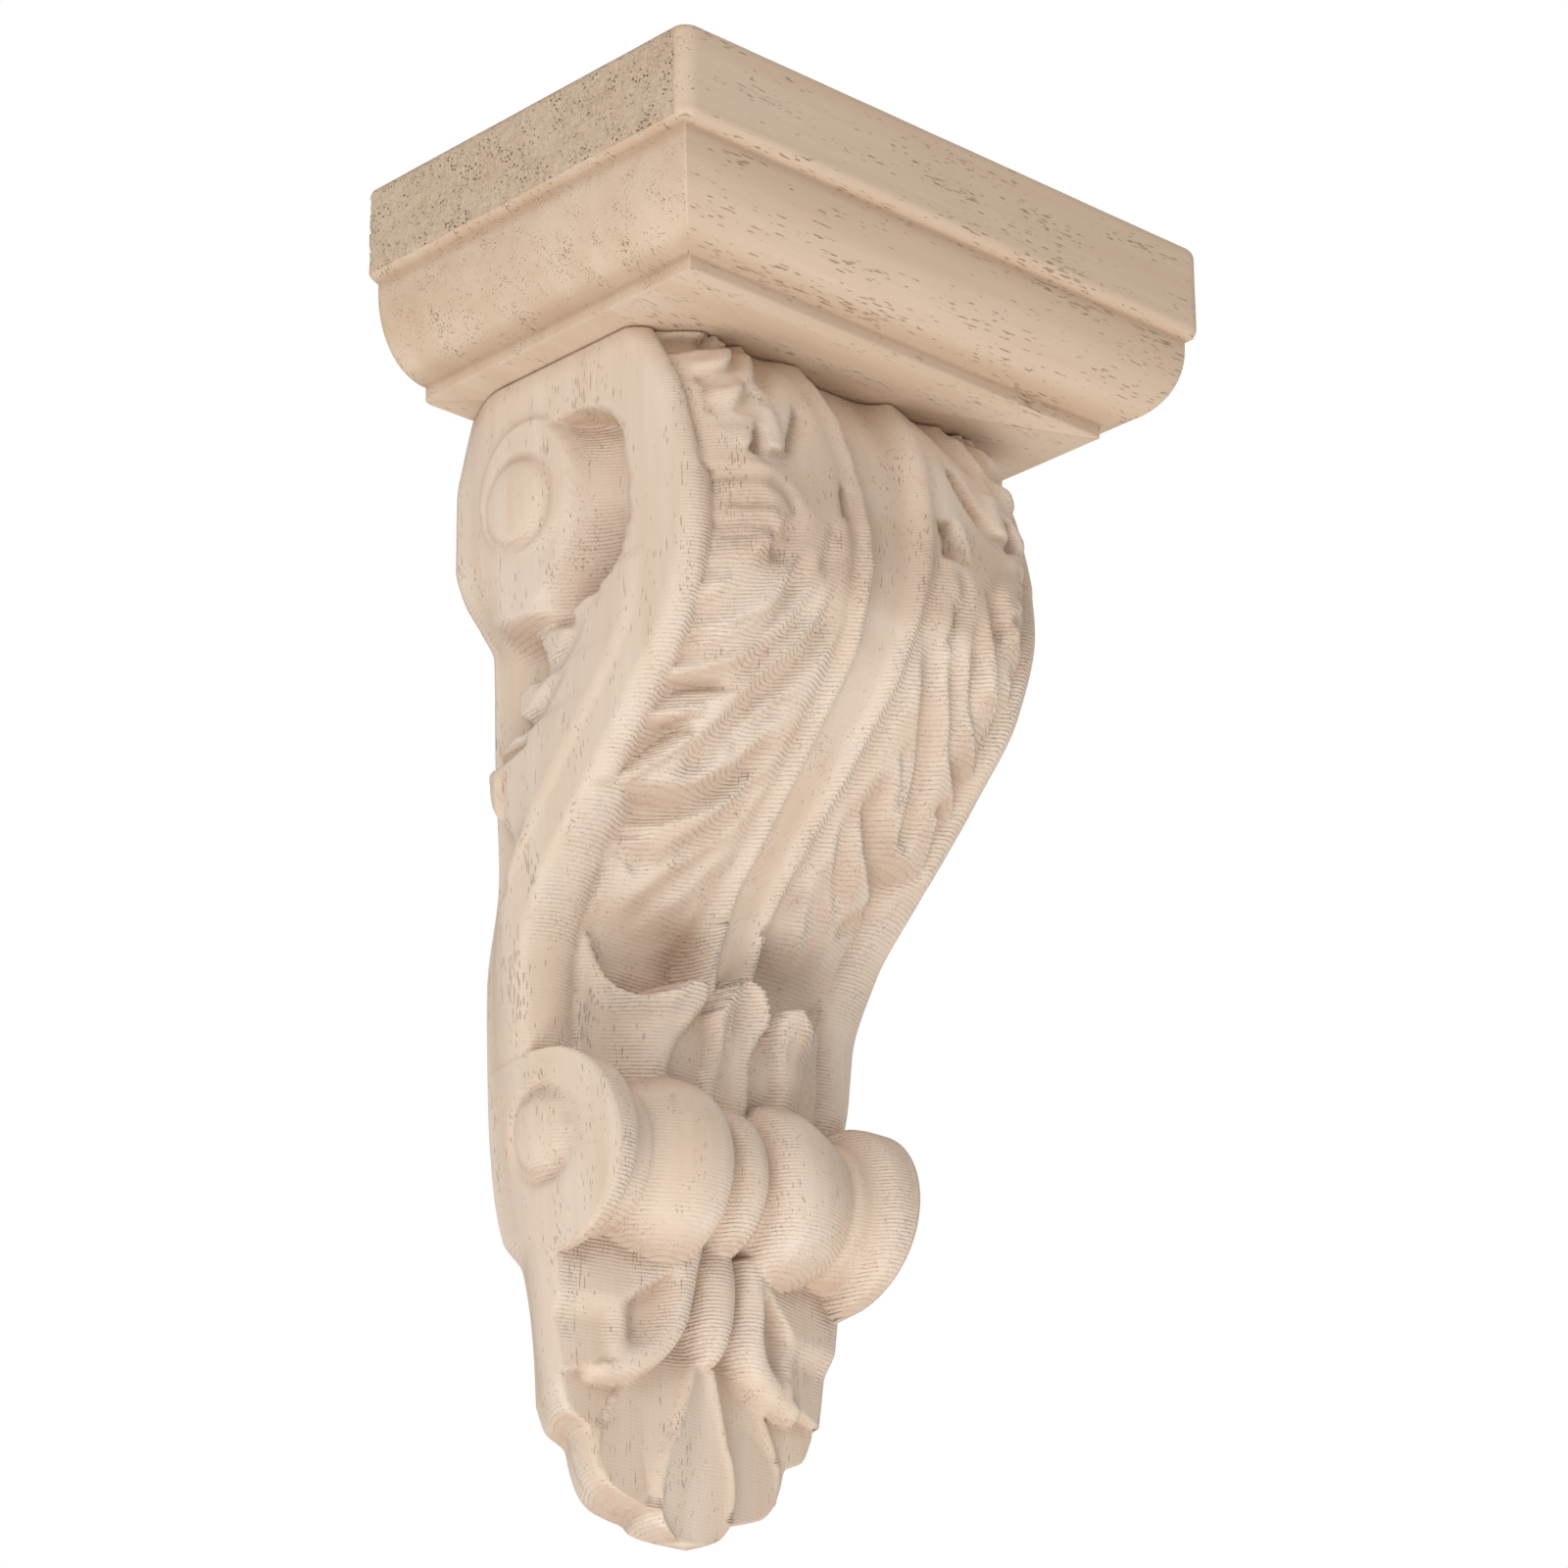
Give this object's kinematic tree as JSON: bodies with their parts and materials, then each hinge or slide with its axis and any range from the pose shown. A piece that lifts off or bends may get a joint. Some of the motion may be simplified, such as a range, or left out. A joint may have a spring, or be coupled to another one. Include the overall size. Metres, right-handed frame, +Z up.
{
  "type": "corbel bracket",
  "caption": "Carved wooden corbel bracket: acanthus-leaf front, scrolled sides, turned roll and petalled tip under a moulded rectangular cap, fixed by its flat back.",
  "frame": {"origin": "on the flat back, half-way across and half-way up the whole height", "axes": "+Z up, +Y out of the flat back towards the wall, -Y towards the viewer, X across; the back lies in the plane Y = 0"},
  "size_m": [0.1076, 0.071, 0.201],
  "materials": {
    "carved_wood": "unfinished, sanded, with cutter marks",
    "moulded_wood": "unfinished, sanded face, sawn ends"
  },
  "bodies": {
    "root": {"body": "carved_wood", "cap": "moulded_wood"}
  },
  "joints": []
}
